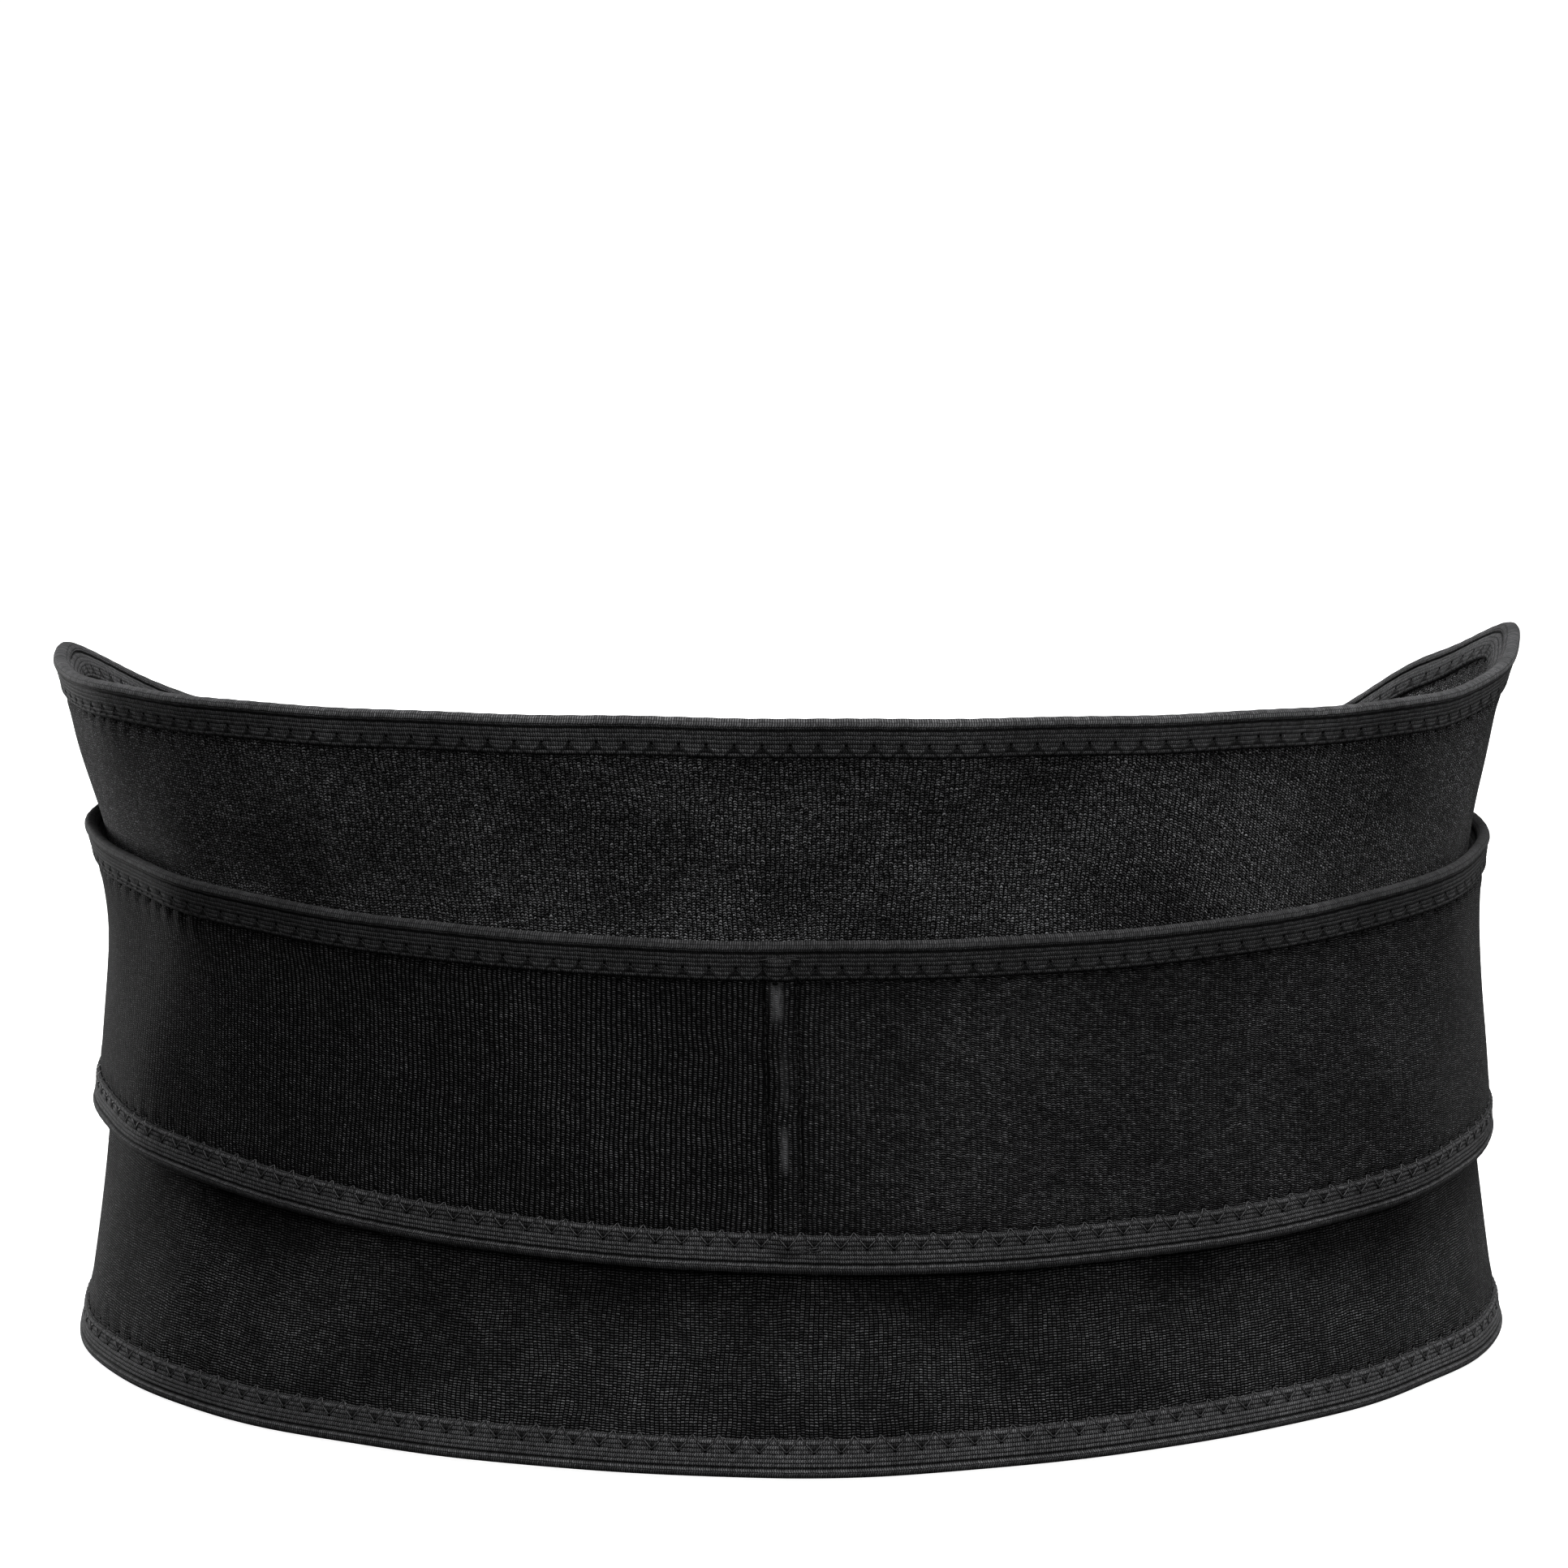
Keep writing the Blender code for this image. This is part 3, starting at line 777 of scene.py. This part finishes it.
def moulded(name):
    n = Nodes(name, 0.5, 0.0, 0.4, 0.5, (0.012, 0.012, 0.013))
    grain = n.noise(n.object_place(), 1500.0)
    return n.finish(n.mix_colour(grain, grey(0.008), grey(0.02)), grain, 0.00005, 0.5)


PANEL_KNIT = knit("panel_knit", 1.0, 0.62, 0.075, arch=0.6, wobble=0.28, slip=0.25, spread=0.75, drift=0.7,
                  grain=0.75, loosen=(90.0, 125.0, 0.9))
LINING = knit("lining_knit", 1.4, 0.75, 0.04)
BAND = {"arch": 0.3, "wobble": 0.2, "slip": 1.0, "spread": 0.8, "slant": 0.35, "drift": 0.5,
        "ribbed": (-15.0, 45.0)}
BAND_KNIT = knit("band_knit", 1.15, 0.54, 0.066, grain=0.5, **BAND)
# Streaks over the channel's stay: rubbed wear with a painted highlight.
SHINE_STREAKS = ((115.5, 7.0, -0.8, 2.1, 0.75), (80.0, 7.0, 0.0, 1.2, 0.6), (97.0, 10.0, 0.4, 1.5, 0.14))
CHANNEL_KNIT = knit("channel_knit", 1.15, 0.54, 0.066, grain=0.45, rubbed_shine=SHINE_STREAKS, **BAND)
TAPE = ribbed_tape("ribbed_tape", 0.105)
# The band's top tape is a darker copy of its bottom tape: painted shade.
BAND_TAPES = {"top": ribbed_tape("band_top_tape_shaded", 0.058), "bottom": ribbed_tape("band_bottom_tape", 0.08)}
# The second thread is a darker copy of the first: painted shade on thread sunk into the upper tapes, the
# channel's seams and the pocket's quilting.
THREAD, SHADED_THREAD = thread_material("thread", 0.045, 0.09), thread_material("shaded_thread", 0.006, 0.03)
PIT_SHADE = pit_shade_material()
LOOP_PILE = pile("loop_pile", 0.026, 0.006, 1.1, 0.0006, 0.05)
HOOKS = hooks("hook_tape")
STEEL, PLASTIC = brushed("spring_steel"), moulded("stay_plastic")


# The belt

def place(piece, body, node=None):
    """Sets a piece on its body, and hides the CAD node it stands for."""
    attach(piece, body)
    if node:
        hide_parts(node)


def across_hinge(obj, side, tail=False):
    """Bakes a piece's transform into its mesh; it does not bend the piece. The two numbers are where
    the wing's hinge, or the band end's, starts and ends, in degrees round the waist; the points there are
    worked out but not used."""
    a, b = (TAIL_FROM + 1.0, 138.0) if tail else (98.0, 126.0)
    start, end = surface(np.array([side * a, side * b]), 90.0, 0.0) / MM
    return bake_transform(obj)


def declare_sheet(limits, start, end):
    psi = np.linspace(start, end, 200)
    low, high = limits(psi)


def build_wide_panel():
    middle = wide_panel("wide_panel_back", -BACK_REACH, BACK_REACH, PANEL_KNIT)
    place(middle, "back", "back_panel")
    declare_sheet(main_edges, -BACK_REACH, BACK_REACH)
    for name, side, tip in (("left", -1, -LEFT_TIP), ("right", 1, RIGHT_TIP)):
        wing = wide_panel(f"wide_panel_{name}", side * BACK_REACH, tip, PANEL_KNIT, tip)
        across_hinge(wing, side)
        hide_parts(f"{name}_wing_panel")
        run = tip_run(0.0, tip, main_edges, PANEL_CORNER)
        binding = tape(f"{name}_binding", run, PANEL_BACK, 0.0, TAPE)
        stitches = zigzag(f"{name}_binding_zigzag", run, PANEL_BACK, 0.0)
        back_node = "back_binding_top" if side < 0 else "back_binding_bottom"
        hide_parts(f"{name}_wing_binding", back_node)
        for piece in (binding, stitches):
            across_hinge(piece, side)
        declare_sheet(main_edges, side * BACK_REACH, tip)


def build_band():
    middle = band_panel("band_back_panel", -BACK_REACH, BACK_REACH, CHANNEL_KNIT)
    place(middle, "back", "band_back")
    parts = bind_band("band_back", "band_back_binding", -BACK_REACH, BACK_REACH, channel)
    parts.append(channel_seam())
    for piece in parts:
        place(piece, "back")
    declare_sheet(band_edges, -BACK_REACH, BACK_REACH)
    for name, side in (("left", -1), ("right", 1)):
        start, seam_at, tip = side * BACK_REACH, side * TAIL_FROM, side * BAND_TIP
        panel = band_panel(f"band_{name}_panel", start, seam_at, BAND_KNIT)
        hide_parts(f"{name}_band_side")
        parts = bind_band(f"band_{name}", f"{name}_band_side_binding", start, seam_at)
        finish_band(panel, parts, side, False, start, seam_at)
        tail = band_panel(f"band_{name}_tail", seam_at, tip, BAND_KNIT, tip)
        run = tip_run(seam_at, tip, band_edges, BAND_CORNER)
        binding = tape(f"band_{name}_tail_tape", run, BAND_BACK, BAND_FACE, BAND_TAPES["top"])
        stitches = zigzag(f"band_{name}_tail_zigzag", run, BAND_BACK, BAND_FACE, 1.0)
        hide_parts(f"{name}_band_end")
        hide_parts(f"{name}_band_end_binding")
        finish_band(tail, [binding, stitches], side, True, seam_at, tip)


def bind_band(name, node, start, end, relief=None):
    """The band's two tapes and their zigzags."""
    parts = []
    psi = stations(start, end)
    for up, word in ((1.0, "top"), (-1.0, "bottom")):
        run = edge_run(psi, band_edges, up)
        binding = tape(f"{name}_{word}_tape", run, BAND_BACK, BAND_FACE, BAND_TAPES[word], relief)
        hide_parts(f"{node}_{word}")
        parts += [binding, zigzag(f"{name}_{word}_zigzag", run, BAND_BACK, BAND_FACE, 1.0, relief)]
    return parts


def finish_band(panel, parts, side, tail, start, end):
    for piece in [panel] + parts:
        across_hinge(piece, side, tail)
    declare_sheet(band_edges, start, end)


def channel_seam():
    """The rows of stitches along the stay channel and across its ends."""
    z = np.linspace(55.0, 124.6, 48)
    sunk, base = np.full_like(z, BAND_FACE - 0.55), 4.75
    lines = [np.stack([channel_middle(z) + side * CHANNEL_HALF, z, sunk], 1) for side in (-1, 1)]
    for height, a, b in ((125.0, -4.4, 4.6), (56.2, -3.6, 7.6)):
        x = np.linspace(a, b, 9) + float(channel_middle(height))
        lines.append(np.stack([x, height + 0.25 * np.sin(x), np.full_like(x, base)], 1))
        x = x[1:-1]
        lines.append(np.stack([x + 0.4, height + 0.45 + 0.2 * np.cos(x), np.full_like(x, base)], 1))
    # The channel's stitches take the darker thread, painted shade where they sink into the seam.
    return lockstitch("channel_stitches", lines, 2.4, SHADED_THREAD)


def pad(name, psi0, psi1, z0, z1, base, thick, outward, material, corner=4.0):
    """A sewn patch with rounded corners and a soft edge, on one face of a panel."""
    u = np.arange(0, abs(arc(psi1) - arc(psi0)) + 0.5) + min(arc(psi0), arc(psi1))
    z = np.arange(z0, z1 + 0.5)
    u, z = np.meshgrid(u, z, indexing="ij")
    mid_u, mid_z = (u.min() + u.max()) / 2, (z.min() + z.max()) / 2
    half_u, half_z = (u.max() - u.min()) / 2, (z.max() - z.min()) / 2
    x, y = u - mid_u, z - mid_z
    cx, cy = np.clip(np.abs(x), 0, half_u - corner), np.clip(np.abs(y), 0, half_z - corner)
    over = np.hypot(np.abs(x) - cx, np.abs(y) - cy)
    shrink = np.where(over > corner, corner / np.maximum(over, 1e-9), 1.0)
    x = np.sign(x) * (cx + (np.abs(x) - cx) * shrink)
    y = np.sign(y) * (cy + (np.abs(y) - cy) * shrink)
    straight = np.minimum(half_u - np.abs(x), half_z - np.abs(y))
    inset = np.where(over > 0, corner - np.minimum(over, corner), straight)
    soft = thick * (0.35 + 0.65 * smooth(0.0, 1.3, inset))
    soft = soft - 0.25 * thick * np.exp(-((inset - 2.2) / 0.5) ** 2)
    u, z = x + mid_u, y + mid_z
    top = surface(angle(u), z, base + outward * soft)
    under = surface(angle(u), z, base + outward * 0.03)
    return shell(name, top, under, u, z, material), (u.min(), u.max(), z0, z1)


def build_patches():
    inset = 2.2
    for name, side in (("left", -1), ("right", 1)):
        body = f"{name}_wing"
        landing, box = pad(f"{name}_landing_pile", side * 134, side * 146, 63, 93, 0.0, 0.75, 1, LOOP_PILE)
        place(landing, body, f"{name}_band_landing")
        place(lockstitch(f"{name}_landing_stitches", outline(*box, 0.75, inset)), body)
        hook, _ = pad(f"{name}_tail_hooks", side * 134.5, side * 145.5, 63.5, 92.5, BAND_BACK, 0.2, -1, HOOKS)
        across_hinge(hook, side, tail=True)
        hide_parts(f"{name}_band_hook")
    loop, box = pad("closure_pile", 152.0, 173.5, 39, 111, 0.0, 1.5, 1, LOOP_PILE)
    place(loop, "right_wing", "right_closure_loop")
    place(lockstitch("closure_pile_stitches", outline(*box, 1.25, inset)), "right_wing")
    hook, box = pad("closure_hooks", -177.0, -200.0, 39, 111, PANEL_BACK, 1.2, -1, HOOKS)
    place(hook, "left_wing", "left_closure_hook")
    seam = lockstitch("closure_hooks_stitches", outline(*box, PANEL_BACK - 1.05, inset))
    place(seam, "left_wing")


def build_pocket():
    """The lining behind the lower back, tunnelled over its four stays and quilted between them."""
    middles = [float(arc(a)) for a in (-24.0, -9.5, 9.5, 24.0)]
    edge, low, high = float(arc(34.0)), 16.0, 168.0
    u = np.arange(-edge, edge + 0.5, 1.3)
    z = np.arange(low, high + 0.5, 1.6)
    u, z = np.meshgrid(u, z, indexing="ij")
    lift = np.zeros_like(u)
    inside = smooth(17, 20, z) * (1 - smooth(158.5, 161.5, z))
    for m in middles:
        lift = np.maximum(lift, (1 - smooth(5.2, 7.4, np.abs(u - m))) * inside)
    beside = 8.0  # each stay's seams run this far from its middle
    grooves = sum(np.exp(-((np.abs(u - m) - beside) / 0.6) ** 2) for m in middles) * 0.25
    border = np.minimum(np.minimum(edge - np.abs(u), z - low), high - z)
    thick = 0.25 + 0.55 * smooth(0, 1.2, border)
    back = PANEL_BACK - 0.06 - 1.78 * lift
    top = surface(angle(u), z, back - thick + grooves * (lift < 0.2))
    piece = shell("stay_pocket", top, surface(angle(u), z, back), u, z, LINING)
    place(piece, "back", "stay_pocket_panel")
    run = np.linspace(19.0, 161.0, 90)
    off = np.full_like(run, PANEL_BACK - 0.72)
    lines = [np.stack([np.full_like(run, m + s), run, off], 1) for m in middles for s in (-beside, beside)]
    lines += outline(-edge, edge, low, high, PANEL_BACK - 0.9, 2.0)
    # The quilting takes the darker thread, painted shade where it sinks into the lining.
    seam = lockstitch("stay_pocket_stitches", lines, 2.6, SHADED_THREAD)
    place(seam, "back")
    for count, middle in enumerate(middles, 1):
        stay(f"spring_stay_{count}", middle, 5.0, 20, 158, -3.92, 1.36, -1, STEEL, f"back_stay_{count}")
    stay("channel_stay", 0.0, 3.0, 62, 117, 0.32, 0.7, 1, PLASTIC, "centre_stay")


def stay(name, middle, half, low, high, base, thick, outward, material, node):
    """A flat stay with rounded ends, following the curve of the cloth that holds it."""
    start, end = float(angle(middle - half)), float(angle(middle + half))
    piece, _ = pad(name, start, end, low, high, base, thick, outward, material, corner=half * 0.9)
    place(piece, "back", node)


# Floor, light and camera

# Metres and degrees. focal and shift are in widths of the picture, which was 1932 pixels wide.
CAMERA = {"place": (0.0, -1.1455, 0.3734), "pitch": 11.54, "roll": 0.28, "focal": 5617 / 1932,
          "shift": (-7.2 / 1932, 0.0)}
SKY = (0.02, 0.3)  # how bright the surroundings are below and overhead
# Each lamp's name, place, width and height, and watts.
LAMPS = [
    ("overhead", (0.25, -0.4, 1.4), (1.2, 0.6), 23.5),
    ("front", (0.45, -1.55, 0.95), (1.0, 0.5), 8.5),
    ("left_edge", (-1.3, 1.25, 0.12), (0.4, 0.5), 24.0),
    ("right_edge", (1.3, 1.25, 0.12), (0.4, 0.5), 5.0),
]


def build_setting():
    """The floor, the light and the camera."""
    build_floor()
    build_world()
    build_lamps()
    build_camera()
    bpy.context.scene.view_settings.view_transform = "Standard"


def build_floor():
    """A pale floor that curves up all round. It lights nothing and shades nothing."""
    rise = np.radians(np.linspace(0, 90, 10))
    reach = np.concatenate([[2.0, 5.0], 8.0 + 3.0 * np.sin(rise), [11.0]])
    height = np.concatenate([[0.0, 0.0], 3.0 - 3.0 * np.cos(rise), [12.0]])
    sides = 64
    turn = np.arange(sides) * 2 * np.pi / sides
    verts = [(r * math.cos(t), r * math.sin(t), z) for r, z in zip(reach, height) for t in turn]
    faces = [tuple(range(sides - 1, -1, -1))]
    for row in range(0, (len(reach) - 1) * sides, sides):
        for j in range(sides):
            after = (j + 1) % sides
            faces.append((row + j, row + after, row + sides + after, row + sides + j))
    mesh = bpy.data.meshes.new("floor")
    mesh.from_pydata(verts, [], faces)
    mesh.polygons.foreach_set("use_smooth", np.ones(len(faces), bool))
    floor = bpy.data.objects.new("floor", mesh)
    bpy.context.scene.collection.objects.link(floor)
    n = Nodes("pale_floor", 0.9, 0.0, 0.4, 0.1, (0.93, 0.93, 0.93))
    n.shader.inputs["Emission Color"].default_value = (1, 1, 1, 1)
    n.shader.inputs["Emission Strength"].default_value = 0.9
    mesh.materials.append(n.mat)
    floor.visible_diffuse = floor.visible_glossy = floor.visible_shadow = False


def build_world():
    """Soft light from all round, brighter overhead."""
    world = bpy.data.worlds.new("studio")
    world.use_nodes = True
    tree = world.node_tree
    background = tree.nodes["Background"]
    coords = tree.nodes.new("ShaderNodeTexCoord")
    height = tree.nodes.new("ShaderNodeSeparateXYZ")
    glow = tree.nodes.new("ShaderNodeMapRange")
    tree.links.new(coords.outputs["Generated"], height.inputs[0])
    tree.links.new(height.outputs[2], glow.inputs["Value"])
    for key, value in (("From Min", -0.25), ("From Max", 1.0), ("To Min", SKY[0]), ("To Max", SKY[1])):
        glow.inputs[key].default_value = value
    tree.links.new(glow.outputs[0], background.inputs["Strength"])
    background.inputs["Color"].default_value = (1, 1, 1, 1)
    bpy.context.scene.world = world


def build_lamps():
    for name, where, size, watts in LAMPS:
        data = bpy.data.lights.new(name, "AREA")
        data.shape, data.size, data.size_y, data.energy = "RECTANGLE", size[0], size[1], watts
        data.spread = math.radians(180)
        lamp = bpy.data.objects.new(name, data)
        lamp.location = where
        aim = mathutils.Vector((0.0, 0.0, 0.09)) - mathutils.Vector(where)
        lamp.rotation_euler = aim.to_track_quat("-Z", "Y").to_euler()
        bpy.context.scene.collection.objects.link(lamp)


def build_camera():
    data = bpy.data.cameras.new("camera")
    sensor = 36.0
    data.sensor_width, data.lens = sensor, sensor * CAMERA["focal"]
    data.shift_x, data.shift_y = CAMERA["shift"]
    data.clip_start, data.clip_end = 0.05, 60.0
    camera = bpy.data.objects.new("camera", data)
    camera.location = CAMERA["place"]
    tilt = mathutils.Matrix.Rotation(math.radians(90 - CAMERA["pitch"]), 4, "X")
    roll = mathutils.Matrix.Rotation(math.radians(CAMERA["roll"]), 4, "Z")
    camera.rotation_euler = (tilt @ roll).to_euler()
    bpy.context.scene.collection.objects.link(camera)
    bpy.context.scene.camera = camera


build_wide_panel()
build_band()
build_patches()
build_pocket()
build_setting()
